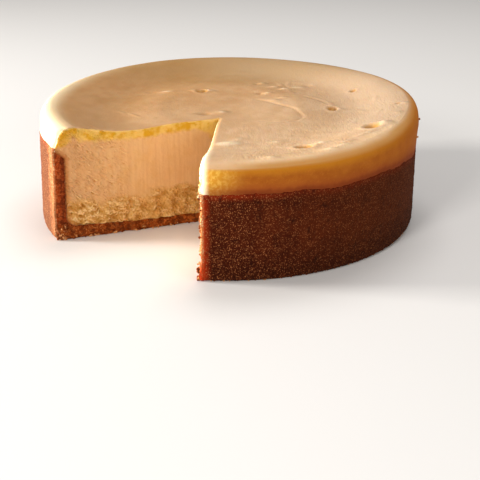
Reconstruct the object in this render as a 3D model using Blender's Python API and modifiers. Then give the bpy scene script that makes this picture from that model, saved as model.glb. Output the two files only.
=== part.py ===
# Baked cheesecake: a nine inch round in a crumb crust, with one wedge cut out and taken away.
#
# Lengths are in metres and +Z is up. The cake stands on z = 0 with its middle on the z axis.
# The missing wedge faces -Y, a little to the left, so that -Y is the front.
#
# Both bodies are turned from a plain profile and then settled: settle() moves every point of the
# ideal round cake to where it lies in the real one, with its tilted top, its uneven crust line
# and its slumped left shoulder. The wedge and the small pits in the skin are cut out afterwards.

import math

import bmesh
import bpy
from mathutils import Vector, noise

MM = 0.001

# Whole cake
RADIUS = 114.3 * MM
CREST_HEIGHT = 67.8 * MM
TURN_STEPS = 84
GAP = 0.3 * MM

# Crumb crust: a base and a standing wall, pressed as one piece
BASE_MIDDLE = 6.1 * MM
BASE_EDGE = 7.9 * MM
BASE_THICKENS_FROM = 62 * MM
WALL_THICKNESS = 6.2 * MM
WALL_TOP = 48.1 * MM
WALL_TOP_SLOPE = 5.0 * MM
WALL_TOP_EDGE = 0.7 * MM
CORNER_FILLET = 5.4 * MM
FOOT_ROUNDING = 1.8 * MM

# Filling: a flat middle, a shallow ring round it, and a rim that baked up higher
MIDDLE_HEIGHT = 64.1 * MM
RING_DEPTH = 2.0 * MM
RING_RADIUS = 68 * MM
RING_WIDTH = 18 * MM
RIM_STARTS = 76 * MM
CREST_RADIUS = 106.5 * MM
SHOULDER_DROP = 10 * MM
SHOULDER_POWER = 2.3
SHOULDER_STEPS = 8
TOP_RINGS = [ring * MM for ring in (0, 14, 28, 42, 54, 64, 74, 82, 89, 95, 101)]

# Unevenness. A wave is how many times it goes round, its size and its phase; a hump is its
# direction, its spread and its size.
RIM_WAVES = ((1, 3.5 * MM, math.radians(70)), (2, 0.8 * MM, math.radians(-8)),
             (3, 0.5 * MM, math.radians(-33)))
CRUST_WAVES = ((9, 0.6 * MM, 0), (17, 0.3 * MM, math.radians(-98)), (26, 0.25 * MM, 0))
HIGH_CRUST = (math.radians(200), math.radians(28), 7.4 * MM)
LOW_CRUST = (math.radians(350), math.radians(25), -3.3 * MM)
SLUMPED_SHOULDER = (math.radians(212), math.radians(24), 4.4 * MM)
FULL_SHOULDER = (math.radians(288), math.radians(38), -1.4 * MM)
SLUMP_CURVE = 0.7
WALL_ZONE = (0.86 * RADIUS, 0.93 * RADIUS)
LEAN = 1.0 * MM
SIDE_TAPER = 1.1 * MM
SIDE_SWELL = 0.4 * MM
SUNKEN_MIDDLE = (0 * MM, -2 * MM)
SUNKEN_SIZE = 44 * MM
SUNKEN_DEPTH = 0.5 * MM

# Missing wedge
APEX = Vector((-5.2 * MM, -24.9 * MM, 0))
LEFT_CUT_ANGLE = math.radians(199.75)
RIGHT_CUT_ANGLE = math.radians(264.2)
CUT_REACH = 118 * MM
CUT_CELLS = 30
CUT_OVERSHOOT = (3 * MM, 8 * MM)
CRAG_TOP = 24 * MM
CRAG_ROW = 2.7 * MM
CRAG_DEPTH = 1.5 * MM
CRAG_SIZE = 5.5 * MM
CRAG_SEED = 7.3
SMOOTH_ROW = 8.2 * MM
CUT_WAVER = 0.5 * MM
CUT_WAVER_SIZE = 26 * MM
WAVER_SEED = 43.1
CLEAN_POINT = 8 * MM

# Pits in the skin: x, y, half size across, half size front to back, depth. Each is bitten out by
# a flattened ball, a little larger than the pit and standing part way out of the skin.
BALL_SIZE = 1.25
BALL_HEIGHT = 1.6
BALL_LIFT = 0.6
PITS = (
    (62.9 * MM, -3.8 * MM, 2.3 * MM, 2.6 * MM, 1.4 * MM),
    (79.2 * MM, -56.9 * MM, 3.0 * MM, 3.2 * MM, 1.9 * MM),
    (40.9 * MM, -80.1 * MM, 3.5 * MM, 2.7 * MM, 1.6 * MM),
    (79.5 * MM, 26.2 * MM, 2.2 * MM, 2.0 * MM, 0.8 * MM),
    (-14.9 * MM, 32.5 * MM, 3.3 * MM, 2.3 * MM, 0.8 * MM),
    (-12.9 * MM, -15.3 * MM, 4.4 * MM, 4.0 * MM, 1.1 * MM),
)

CRUST_COLOUR = (0.26, 0.09, 0.03, 1)
FILLING_COLOUR = (0.85, 0.62, 0.36, 1)


def smoothstep(low, high, value):
    """Ease from 0 at low to 1 at high."""
    t = min(max((value - low) / (high - low), 0), 1)
    return t * t * (3 - 2 * t)


def arc(centre, radii, start, end, steps):
    """Points of an elliptical arc in the (radius, height) plane, angles in degrees."""
    points = []
    for step in range(steps + 1):
        angle = math.radians(start + (end - start) * step / steps)
        points.append((centre[0] + radii[0] * math.cos(angle),
                       centre[1] + radii[1] * math.sin(angle)))
    return points


def base_height(radius):
    """Thickness of the crumb base, which grows towards the wall."""
    wall_inside = RADIUS - WALL_THICKNESS
    return BASE_MIDDLE + (BASE_EDGE - BASE_MIDDLE) * smoothstep(BASE_THICKENS_FROM,
                                                               wall_inside - CORNER_FILLET,
                                                               radius)


def top_height(radius):
    """Height of the ideal filling's top, before it settles."""
    ring = RING_DEPTH * math.exp(-((radius - RING_RADIUS) / RING_WIDTH) ** 2)
    rise = (CREST_HEIGHT - MIDDLE_HEIGHT) * smoothstep(RIM_STARTS, CREST_RADIUS, radius)
    return MIDDLE_HEIGHT - ring + rise


def pan_profile(gap):
    """The inside of the crust from the middle of the base to the top of the wall's outer edge.

    The filling follows the same line, a gap further in and up.
    """
    inside = RADIUS - WALL_THICKNESS - gap
    fillet_centre = (inside - CORNER_FILLET, BASE_EDGE + gap + CORNER_FILLET)
    points = [(radius, base_height(radius) + gap)
              for radius in (0, BASE_THICKENS_FROM, 0.5 * (BASE_THICKENS_FROM + fillet_centre[0]))]
    points += arc(fillet_centre, (CORNER_FILLET, CORNER_FILLET), -90, 0, 4)
    points.append((inside, 0.5 * WALL_TOP))
    points.append((inside, WALL_TOP - WALL_TOP_SLOPE + gap))
    points.append((RADIUS - WALL_TOP_EDGE, WALL_TOP + gap))
    return points


def crust_profile():
    """Round the crust's section: up its inside, over the wall, down its outside, under the base."""
    foot_centre = (RADIUS - FOOT_ROUNDING, FOOT_ROUNDING)
    return (pan_profile(0)
            + [(RADIUS, WALL_TOP - WALL_TOP_EDGE), (RADIUS, 0.5 * WALL_TOP)]
            + arc(foot_centre, (FOOT_ROUNDING, FOOT_ROUNDING), 0, -90, 3)
            + [(0, 0)])


def filling_profile():
    """Round the filling's section: along its top, over the shoulder, and back under it."""
    shoulder_base = CREST_HEIGHT - SHOULDER_DROP
    points = [(radius, top_height(radius)) for radius in TOP_RINGS]
    for step in range(SHOULDER_STEPS + 1):
        angle = math.radians(90 - 90 * step / SHOULDER_STEPS)
        reach = math.cos(angle) ** (2 / SHOULDER_POWER)
        rise = math.sin(angle) ** (2 / SHOULDER_POWER)
        points.append((CREST_RADIUS + (RADIUS - CREST_RADIUS) * reach,
                       shoulder_base + SHOULDER_DROP * rise))
    points.append((RADIUS, WALL_TOP + GAP))
    return points + pan_profile(GAP)[::-1]


def hump(angle, shape):
    """A rise that is highest in one direction and falls to 0 on both sides of it."""
    centre, spread, size = shape
    return size * math.exp(-(math.remainder(angle - centre, math.tau) / spread) ** 2)


def waves(angle, shapes):
    """A sum of waves that run round the cake."""
    return sum(size * math.cos(count * angle - phase) for count, size, phase in shapes)


def settle(point):
    """Where a point of the ideal round cake lies in the real one."""
    x, y, z = point
    radius = math.hypot(x, y)
    angle = math.atan2(y, x)
    near_wall = smoothstep(*WALL_ZONE, radius)
    above_wall = min(max((z - WALL_TOP) / (CREST_HEIGHT - WALL_TOP), 0), 1)
    up_wall = min(max((z - BASE_EDGE) / (WALL_TOP - BASE_EDGE), 0), 1)

    crust_rise = waves(angle, CRUST_WAVES) + hump(angle, HIGH_CRUST) + hump(angle, LOW_CRUST)
    rim_rise = waves(angle, RIM_WAVES) * radius / RADIUS
    middle_distance = math.hypot(x - SUNKEN_MIDDLE[0], y - SUNKEN_MIDDLE[1])
    sunken = SUNKEN_DEPTH * (1 - smoothstep(0.75 * SUNKEN_SIZE, SUNKEN_SIZE, middle_distance))
    lift = near_wall * crust_rise * (up_wall - above_wall) + above_wall * (rim_rise - sunken)

    slump = hump(angle, SLUMPED_SHOULDER) + hump(angle, FULL_SHOULDER)
    taper = SIDE_TAPER * (up_wall - above_wall ** 2)
    swell = SIDE_SWELL * math.sin(2 * angle) * math.sin(3 * angle + 1)
    scale = 1 + near_wall * (swell - taper - slump * above_wall ** SLUMP_CURVE) / RADIUS
    lean = LEAN * (z + lift) / CREST_HEIGHT
    return Vector((x * scale + lean, y * scale, z + lift))


def cut_relief(along, height, side):
    """How far the cut face stands out of its plane: torn crags low down, a slow waver above."""
    crag = noise.noise(Vector((along / CRAG_SIZE, height / CRAG_SIZE, CRAG_SEED * side)))
    crag *= CRAG_DEPTH * (1 - smoothstep(0.7 * CRAG_TOP, CRAG_TOP, height))
    waver = CUT_WAVER * noise.noise(Vector((along / CUT_WAVER_SIZE, height / CUT_WAVER_SIZE,
                                            WAVER_SEED * side)))
    return (crag + waver) * smoothstep(0, CLEAN_POINT, along)


def new_collection(name):
    """A collection directly under the scene."""
    collection = bpy.data.collections.new(name)
    bpy.context.scene.collection.children.link(collection)
    return collection


def new_object(name, mesh, collection):
    """An object that shows a mesh, in one collection."""
    thing = bpy.data.objects.new(name, mesh)
    collection.objects.link(thing)
    return thing


def food_material(name, colour, roughness):
    """A plain baked surface."""
    material = bpy.data.materials.new(name)
    material.use_nodes = True
    surface = material.node_tree.nodes["Principled BSDF"]
    surface.inputs["Base Color"].default_value = colour
    surface.inputs["Roughness"].default_value = roughness
    surface.inputs["Metallic"].default_value = 0
    material.diffuse_color = colour
    return material


def turned_body(name, profile, material, collection):
    """Turn a profile about the z axis, then settle every point of it."""
    outline = bpy.data.meshes.new(name + "_profile")
    points = [(radius, 0, height) for radius, height in profile]
    edges = [(index, index + 1) for index in range(len(points) - 1)]
    outline.from_pydata(points, edges, [])
    guide = new_object(name + "_profile", outline, collection)
    screw = guide.modifiers.new("turn", 'SCREW')
    screw.axis = 'Z'
    screw.angle = math.tau
    screw.steps = TURN_STEPS
    screw.render_steps = TURN_STEPS
    screw.use_merge_vertices = True
    screw.merge_threshold = 0.01 * MM

    evaluated = guide.evaluated_get(bpy.context.evaluated_depsgraph_get())
    mesh = bpy.data.meshes.new_from_object(evaluated)
    bpy.data.objects.remove(guide)
    mesh.name = name
    for vertex in mesh.vertices:
        vertex.co = settle(vertex.co)
    mesh.materials.clear()
    mesh.materials.append(material)
    mesh.shade_smooth()
    mesh.set_sharp_from_angle(angle=math.radians(35))
    return new_object(name, mesh, collection)


def wedge_cutter(collection):
    """The missing wedge, taller and longer than the cake, with the relief of both cut faces."""
    low, high = -CUT_OVERSHOOT[0], CREST_HEIGHT + CUT_OVERSHOOT[1]
    crag_rows = [BASE_EDGE + step * CRAG_ROW for step in range(7)]
    smooth_rows = [CRAG_TOP + step * SMOOTH_ROW for step in range(1, 6)]
    rows = [low, 0.5 * BASE_MIDDLE] + crag_rows + smooth_rows + [high]

    def face_point(along, height, angle, side):
        direction = Vector((math.cos(angle), math.sin(angle), 0))
        normal = Vector((-direction.y, direction.x, 0)) * side
        offset = cut_relief(along, height, side)
        return APEX + direction * along - normal * offset + Vector((0, 0, height))

    mesh = bpy.data.meshes.new("missing_wedge")
    shape = bmesh.new()
    rings = []
    for height in rows:
        reaches = [CUT_REACH * step / CUT_CELLS for step in range(CUT_CELLS, 0, -1)]
        ring = [face_point(along, height, LEFT_CUT_ANGLE, 1) for along in reaches]
        ring.append(APEX + Vector((0, 0, height)))
        ring += [face_point(along, height, RIGHT_CUT_ANGLE, -1) for along in reversed(reaches)]
        rings.append([shape.verts.new(point) for point in ring])
    for below, above in zip(rings, rings[1:]):
        for index in range(len(below)):
            after = (index + 1) % len(below)
            shape.faces.new((below[index], below[after], above[after], above[index]))
    shape.faces.new(rings[0][::-1])
    shape.faces.new(rings[-1])
    bmesh.ops.triangulate(shape, faces=shape.faces)
    bmesh.ops.recalc_face_normals(shape, faces=shape.faces)
    shape.to_mesh(mesh)
    shape.free()
    return new_object("missing_wedge", mesh, collection)


def pit_cutter(index, pit, collection):
    """A flattened ball that bites one pit out of the skin."""
    x, y, half_across, half_deep, depth = pit
    surface = settle((x, y, top_height(math.hypot(x, y))))
    shape = bmesh.new()
    bmesh.ops.create_uvsphere(shape, u_segments=10, v_segments=6, radius=1)
    mesh = bpy.data.meshes.new(f"pit_{index}")
    shape.to_mesh(mesh)
    shape.free()
    cutter = new_object(f"pit_{index}", mesh, collection)
    cutter.location = surface + Vector((0, 0, BALL_LIFT * depth))
    cutter.scale = (BALL_SIZE * half_across, BALL_SIZE * half_deep, BALL_HEIGHT * depth)
    return cutter


def cut(body, cutter=None, cutters=None):
    """Subtract one cutter, or a whole collection of them."""
    boolean = body.modifiers.new("cut", 'BOOLEAN')
    boolean.operation = 'DIFFERENCE'
    boolean.solver = 'EXACT'
    if cutters:
        boolean.operand_type = 'COLLECTION'
        boolean.collection = cutters
    else:
        boolean.object = cutter


def hide_cutters(collection):
    """Cutters are guides: they don't render, and show as wire."""
    for thing in collection.objects:
        thing.hide_render = True
        thing.display_type = 'WIRE'


def main():
    for thing in list(bpy.data.objects):
        bpy.data.objects.remove(thing)

    cake = new_collection("baked_cheesecake")
    wedge_cutters = new_collection("wedge_cutters")
    pit_cutters = new_collection("pit_cutters")

    crust_surface = food_material("baked_crumb", CRUST_COLOUR, 0.85)
    filling_surface = food_material("baked_filling", FILLING_COLOUR, 0.5)
    crust = turned_body("crumb_crust", crust_profile(), crust_surface, cake)
    filling = turned_body("cheese_filling", filling_profile(), filling_surface, cake)

    wedge = wedge_cutter(wedge_cutters)
    for index, pit in enumerate(PITS):
        pit_cutter(index, pit, pit_cutters)
    cut(crust, wedge)
    cut(filling, wedge)
    cut(filling, cutters=pit_cutters)
    hide_cutters(wedge_cutters)
    hide_cutters(pit_cutters)


main()
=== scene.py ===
# Baked cheesecake with one wedge cut out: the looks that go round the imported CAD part.
#
# Both nodes are replaced by dense closed meshes that follow the same outline and settle the same
# way. Each is swept round the point of the missing wedge, from one cut face to the other, and the
# two cut faces close it. Lengths are in metres, +Z is up, and the front is -Y.
import math
from itertools import product

import bmesh
import bpy
import numpy as np
from mathutils import Euler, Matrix, Vector, geometry, noise
from mathutils.kdtree import KDTree


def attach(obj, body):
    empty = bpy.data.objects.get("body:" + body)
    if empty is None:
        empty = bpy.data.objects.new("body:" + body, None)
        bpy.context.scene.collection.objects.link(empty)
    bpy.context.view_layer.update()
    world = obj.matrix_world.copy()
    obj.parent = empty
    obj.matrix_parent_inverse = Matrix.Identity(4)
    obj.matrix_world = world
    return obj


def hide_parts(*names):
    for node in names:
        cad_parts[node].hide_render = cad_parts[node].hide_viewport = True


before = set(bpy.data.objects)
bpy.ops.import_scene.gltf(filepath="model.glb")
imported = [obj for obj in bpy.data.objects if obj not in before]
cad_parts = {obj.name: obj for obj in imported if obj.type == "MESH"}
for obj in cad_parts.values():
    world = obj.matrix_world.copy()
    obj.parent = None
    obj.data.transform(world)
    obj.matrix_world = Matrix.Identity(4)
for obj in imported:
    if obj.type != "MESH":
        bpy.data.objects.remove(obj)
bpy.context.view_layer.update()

MM = 0.001

# The shape, with the same values as the CAD
RADIUS = 114.3 * MM
CREST_HEIGHT = 67.8 * MM
BASE_MIDDLE = 6.1 * MM
BASE_EDGE = 7.9 * MM
BASE_THICKENS_FROM = 62 * MM
WALL_THICKNESS = 6.2 * MM
WALL_TOP = 48.1 * MM
WALL_TOP_SLOPE = 5.0 * MM
WALL_TOP_EDGE = 0.7 * MM
CORNER_FILLET = 5.4 * MM
FOOT_ROUNDING = 1.8 * MM
MIDDLE_HEIGHT = 64.1 * MM
RING_DEPTH = 2.0 * MM
RING_RADIUS = 68 * MM
RING_WIDTH = 18 * MM
RIM_STARTS = 76 * MM
CREST_RADIUS = 106.5 * MM
SHOULDER_DROP = 10 * MM
SHOULDER_POWER = 2.3
RIM_WAVES = ((1, 3.5 * MM, math.radians(70)), (2, 0.8 * MM, math.radians(-8)),
             (3, 0.5 * MM, math.radians(-33)))
CRUST_WAVES = ((9, 0.6 * MM, 0), (17, 0.3 * MM, math.radians(-98)), (26, 0.25 * MM, 0))
HIGH_CRUST = (math.radians(200), math.radians(28), 7.4 * MM)
LOW_CRUST = (math.radians(350), math.radians(25), -3.3 * MM)
SLUMPED_SHOULDER = (math.radians(212), math.radians(24), 4.4 * MM)
FULL_SHOULDER = (math.radians(288), math.radians(38), -1.4 * MM)
SLUMP_CURVE = 0.7
WALL_ZONE = (0.86 * RADIUS, 0.93 * RADIUS)
LEAN = 1.0 * MM
SIDE_TAPER = 1.1 * MM
SIDE_SWELL = 0.4 * MM
SUNKEN_MIDDLE = (0 * MM, -2 * MM)
SUNKEN_SIZE = 44 * MM
SUNKEN_DEPTH = 0.5 * MM
APEX = np.array((-5.2 * MM, -24.9 * MM))
LEFT_CUT_ANGLE = math.radians(199.75)
RIGHT_CUT_ANGLE = math.radians(264.2)
CRAG_TOP = 24 * MM
CRAG_DEPTH = 1.5 * MM
CRAG_SIZE = 5.5 * MM
CRAG_SEED = 7.3
CUT_WAVER = 0.5 * MM
CUT_WAVER_SIZE = 26 * MM
WAVER_SEED = 43.1
CLEAN_POINT = 8 * MM

# How finely the pieces are made
OVERLAP = 0.15 * MM
TUCK = 1.5 * MM
FILLING_STEPS = (97, 13, 11, 9, 8)
FILLING_TURNS = 520
FILLING_CELL = 0.66 * MM
CRUST_STEPS = (5, 74, 5, 8, 8)
CRUST_TURNS = 840
CRUST_CELL = 0.5 * MM
FOLLOW = 5 * MM
POINT_ZONE = 0.5 * MM
FACE_MIDDLE = np.array((60 * MM, 35 * MM))
GOLD_DEPTH = 6.4


def smoothstep(low, high, value):
    """Ease from 0 at low to 1 at high."""
    t = np.clip((value - low) / (high - low), 0, 1)
    return t * t * (3 - 2 * t)


def within(value, start, full, fade, end):
    """1 between full and fade, easing to 0 at start and at end."""
    return smoothstep(start, full, value) * smoothstep(end, fade, value)


def plane(a, b=0.0):
    """Places in a plane, or along one line, to take noise from."""
    return np.stack(np.broadcast_arrays(a, b, 0.0), -1)


def stroked(flat, direction, length, width):
    """Places in a plane stretched so that noise makes strokes in one direction."""
    c, s = direction
    x, y = flat[:, 0], flat[:, 1]
    return plane((x * c + y * s) / length, (x * s - y * c) / width)


def hashed(cells, seed):
    """A repeatable number from 0 to 1 for each cell of a lattice."""
    cells = cells.astype(np.int64).astype(np.uint32)
    h = cells[..., 0] * np.uint32(73856093) ^ cells[..., 1] * np.uint32(19349663)
    h = h ^ cells[..., 2] * np.uint32(83492791) ^ np.uint32((seed * 2654435761) % 2 ** 32)
    for shift, factor in ((16, 0x7feb352d), (15, 0x846ca68b)):
        h = (h ^ (h >> np.uint32(shift))) * np.uint32(factor)
    return (h ^ (h >> np.uint32(16))) / 2.0 ** 32


def soft_noise(points, seed=0):
    """Smooth noise from about -1 to 1, one feature to a unit of length."""
    base = np.floor(points)
    t = points - base
    ease = t * t * t * (t * (t * 6 - 15) + 10)
    total = np.zeros(points.shape[:-1])
    for corner in product((0, 1), repeat=3):
        corner = np.array(corner)
        slope = np.stack([hashed(base + corner, 3 * seed + k) for k in range(3)], -1) * 2 - 1
        weight = np.where(corner, ease, 1 - ease).prod(-1)
        total += weight * ((t - corner) * slope).sum(-1)
    return 1.3 * total


def layered_noise(points, octaves, seed=0):
    """Smooth noise with finer and finer layers."""
    return sum(soft_noise(points * 2.03 ** k, seed + 17 * k) / 2 ** k for k in range(octaves))


def grains(points, seed=0):
    """Packed grains, one to a unit cube: distance to the nearest grain's middle."""
    nearest = np.full(points.shape[:-1], 9.0)
    for corner in product((-1, 0, 1), repeat=3):
        cell = np.floor(points) + np.array(corner)
        middle = cell + 0.1 + 0.8 * np.stack([hashed(cell, seed + k) for k in range(3)], -1)
        nearest = np.minimum(nearest, np.linalg.norm(points - middle, axis=-1))
    return nearest


def hump(angle, shape):
    """A rise that is highest in one direction and falls to 0 on both sides of it."""
    centre, spread, size = shape
    turn = (angle - centre + math.pi) % math.tau - math.pi
    return size * np.exp(-(turn / spread) ** 2)


def waves(angle, shapes):
    """A sum of waves that run round the cake."""
    return sum(size * np.cos(count * angle - phase) for count, size, phase in shapes)


def settle(points):
    """Where points of the ideal round cake lie in the real one."""
    x, y, z = points[..., 0], points[..., 1], points[..., 2]
    radius = np.hypot(x, y)
    angle = np.arctan2(y, x)
    near_wall = smoothstep(*WALL_ZONE, radius)
    above_wall = np.clip((z - WALL_TOP) / (CREST_HEIGHT - WALL_TOP), 0, 1)
    up_wall = np.clip((z - BASE_EDGE) / (WALL_TOP - BASE_EDGE), 0, 1)

    crust_rise = waves(angle, CRUST_WAVES) + hump(angle, HIGH_CRUST) + hump(angle, LOW_CRUST)
    rim_rise = waves(angle, RIM_WAVES) * radius / RADIUS
    middle_distance = np.hypot(x - SUNKEN_MIDDLE[0], y - SUNKEN_MIDDLE[1])
    sunken = SUNKEN_DEPTH * (1 - smoothstep(0.75 * SUNKEN_SIZE, SUNKEN_SIZE, middle_distance))
    lift = near_wall * crust_rise * (up_wall - above_wall) + above_wall * (rim_rise - sunken)

    slump = hump(angle, SLUMPED_SHOULDER) + hump(angle, FULL_SHOULDER)
    taper = SIDE_TAPER * (up_wall - above_wall ** 2)
    swell = SIDE_SWELL * np.sin(2 * angle) * np.sin(3 * angle + 1)
    scale = 1 + near_wall * (swell - taper - slump * above_wall ** SLUMP_CURVE) / RADIUS
    lean = LEAN * (z + lift) / CREST_HEIGHT
    return np.stack([x * scale + lean, y * scale, z + lift], -1)


def top_height(radius):
    """Height of the ideal filling's top, before it settles."""
    ring = RING_DEPTH * np.exp(-((radius - RING_RADIUS) / RING_WIDTH) ** 2)
    rise = (CREST_HEIGHT - MIDDLE_HEIGHT) * smoothstep(RIM_STARTS, CREST_RADIUS, radius)
    return MIDDLE_HEIGHT - ring + rise


def base_height(radius):
    """Thickness of the crumb base, which grows towards the wall."""
    wall_inside = RADIUS - WALL_THICKNESS
    return BASE_MIDDLE + (BASE_EDGE - BASE_MIDDLE) * smoothstep(BASE_THICKENS_FROM,
                                                               wall_inside - CORNER_FILLET,
                                                               radius)


def arc(centre, size, start, end, steps):
    """Points of a circular arc in the (radius, height) plane, angles in degrees."""
    angles = np.radians(np.linspace(start, end, steps + 1))
    return [(centre[0] + size * math.cos(a), centre[1] + size * math.sin(a)) for a in angles]


def wall_inside_line(gap):
    """The crust wall's inner side from its top down to the base, moved out by a gap."""
    inside = RADIUS - WALL_THICKNESS + gap
    fillet = (inside - CORNER_FILLET, BASE_EDGE - gap + CORNER_FILLET)
    straight = [(inside, z) for z in np.linspace(WALL_TOP - WALL_TOP_SLOPE - gap, fillet[1], 4)[:-1]]
    return straight + arc(fillet, CORNER_FILLET, 0, -90, 5)


def spaced(points, even=False):
    """A polyline's points with how far along it each lies, from 0 to 1, or each counted as one step."""
    points = np.array(points)
    steps = np.linalg.norm(np.diff(points, axis=0), axis=1)
    if even:
        steps = np.ones(len(steps))
    return np.concatenate([[0], np.cumsum(steps) / steps.sum()]), points[:, 0], points[:, 1]


def filling_parts():
    """The filling's outline after its top: shoulder, band above the crust, hidden side."""
    shoulder = []
    for step in range(33):
        turn = math.radians(90 - 90 * step / 32)
        shoulder.append((CREST_RADIUS + (RADIUS - CREST_RADIUS) * math.cos(turn) ** (2 / SHOULDER_POWER),
                         CREST_HEIGHT - SHOULDER_DROP
                         + SHOULDER_DROP * math.sin(turn) ** (2 / SHOULDER_POWER)))
    band = [shoulder[-1], (RADIUS, WALL_TOP), (RADIUS - 0.5 * MM, WALL_TOP - TUCK)]
    hidden = [band[-1]] + wall_inside_line(OVERLAP)
    return [spaced(shoulder), spaced(band), spaced(hidden, even=True)]


def crust_parts():
    """The crust's outline after its underside: outer side, top of the wall, inner side."""
    foot = (RADIUS - FOOT_ROUNDING, FOOT_ROUNDING)
    outside = arc(foot, FOOT_ROUNDING, -90, 0, 8) + [(RADIUS, WALL_TOP - WALL_TOP_EDGE)]
    inside = wall_inside_line(0)
    top = [outside[-1], (RADIUS - WALL_TOP_EDGE, WALL_TOP), inside[0]]
    return [spaced(outside), spaced(top), spaced(inside, even=True)]


class Body:
    """One node as a sweep: its outline runs from the wedge's point over the cake and back.

    A place on the outline is a number from 0 to 5. From 0 to 1 it leaves the wedge's point along
    the first surface, from 4 to 5 it comes back to it along the last one.
    """

    def __init__(self, parts, first, last, last_gap):
        self.parts, self.first, self.last, self.last_gap = parts, first, last, last_gap

    def outline(self, phi, u):
        """Distance from the wedge's point and height, before the cake settles."""
        phi, u = np.broadcast_arrays(np.asarray(phi, float), np.asarray(u, float))
        along_axis = APEX[0] * np.cos(phi) + APEX[1] * np.sin(phi)

        def reach(radius):
            return -along_axis + np.sqrt(along_axis ** 2 - (APEX ** 2).sum() + radius ** 2)

        def radius_at(s):
            return np.sqrt(s ** 2 + 2 * s * along_axis + (APEX ** 2).sum())

        s, z = np.zeros(u.shape), np.zeros(u.shape)
        starts = (u <= 1)
        distance = np.clip(u, 0, 1) * reach(self.parts[0][1][0])
        s = np.where(starts, distance, s)
        z = np.where(starts, self.first(radius_at(distance)), z)
        for index, (where, radii, heights) in enumerate(self.parts):
            here = (u > index + 1) & (u <= index + 2)
            s = np.where(here, reach(np.interp(u - index - 1, where, radii)), s)
            z = np.where(here, np.interp(u - index - 1, where, heights), z)
        ends = u > 4
        distance = np.clip(5 - u, 0, 1) * reach(self.parts[-1][1][-1])
        s = np.where(ends, distance, s)
        z = np.where(ends, self.last(radius_at(distance)) - self.last_gap, z)
        return s, z


def place(phi, s, z):
    """A place in the cut plane at an angle, settled, and still in that plane."""
    phi, s, z = np.broadcast_arrays(np.asarray(phi, float), s, z)
    ahead = np.stack([np.cos(phi), np.sin(phi)], -1)
    flat = APEX + ahead * s[..., None]
    moved = settle(np.concatenate([flat, z[..., None]], -1))
    along = ((moved[..., :2] - APEX) * ahead).sum(-1)
    along = np.where(s <= 0, 0, along)
    return np.concatenate([APEX + ahead * along[..., None], moved[..., 2:]], -1)


def stations(counts):
    """Places on the outline for the sweep: counts[k] steps from k to k + 1."""
    places = [index + np.arange(count) / count for index, count in enumerate(counts)]
    return np.concatenate(places + [[5.0]])


def fine_stations(body, phi, coarse, cell):
    """Places on the outline at a cut face: the sweep's own, with steps no longer than a cell."""
    s, z = body.outline(phi, coarse)
    result = [coarse[0]]
    for k in range(len(coarse) - 1):
        length = math.hypot(s[k + 1] - s[k], z[k + 1] - z[k])
        count = max(1, math.ceil(length / cell))
        result += list(coarse[k] + (coarse[k + 1] - coarse[k]) * np.arange(1, count + 1) / count)
    return np.array(result)


def inside_polygon(points, polygon):
    """Which points lie inside a closed polygon."""
    inside = np.zeros(len(points), bool)
    for (x0, y0), (x1, y1) in zip(polygon, np.roll(polygon, -1, 0)):
        if y0 != y1:
            crosses = (points[:, 1] > min(y0, y1)) & (points[:, 1] <= max(y0, y1))
            meets = x0 + (points[:, 1] - y0) * (x1 - x0) / (y1 - y0)
            inside ^= crosses & (points[:, 0] < meets)
    return inside


def face_grid(boundary, cell):
    """Points of a cut face inside its boundary, and its triangles. Lengths in cells."""
    polygon = boundary / cell
    low, high = polygon.min(0), polygon.max(0)
    rows = np.arange(low[1], high[1], math.sqrt(3) / 2)
    grid = np.array([(x + 0.5 * (index % 2), y) for index, y in enumerate(rows)
                     for x in np.arange(low[0], high[0], 1.0)])
    shake = np.stack([hashed(np.round(np.c_[grid * 8, 0 * grid[:, :1]]), k) for k in (1, 2)], -1)
    grid = grid + 0.34 * (shake - 0.5)
    grid = grid[inside_polygon(grid, polygon)]
    tree = KDTree(len(polygon))
    for index, (x, y) in enumerate(polygon):
        tree.insert((x, y, 0), index)
    tree.balance()
    grid = np.array([p for p in grid if tree.find((p[0], p[1], 0))[2] > 0.55])
    corners = np.concatenate([polygon, grid])
    count = len(polygon)
    edges = [(index, (index + 1) % count) for index in range(count)]
    made = geometry.delaunay_2d_cdt([Vector(p) for p in corners], edges, [], 1, 1e-7)
    source = [origin[0] for origin in made[3]]
    return grid * cell, [[source[index] for index in face] for face in made[2]]


def zip_strip(left, left_u, right, right_u):
    """Triangles between two lines of points that start and end at the same places."""
    faces, i, j = [], 0, 0
    while i < len(left) - 1 or j < len(right) - 1:
        step_left = j == len(right) - 1 or (i < len(left) - 1 and left_u[i + 1] <= right_u[j + 1])
        face = (left[i], left[i + 1], right[j]) if step_left else (left[i], right[j + 1], right[j])
        if len(set(face)) == 3:
            faces.append(face)
        i, j = (i + 1, j) if step_left else (i, j + 1)
    return faces


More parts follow.
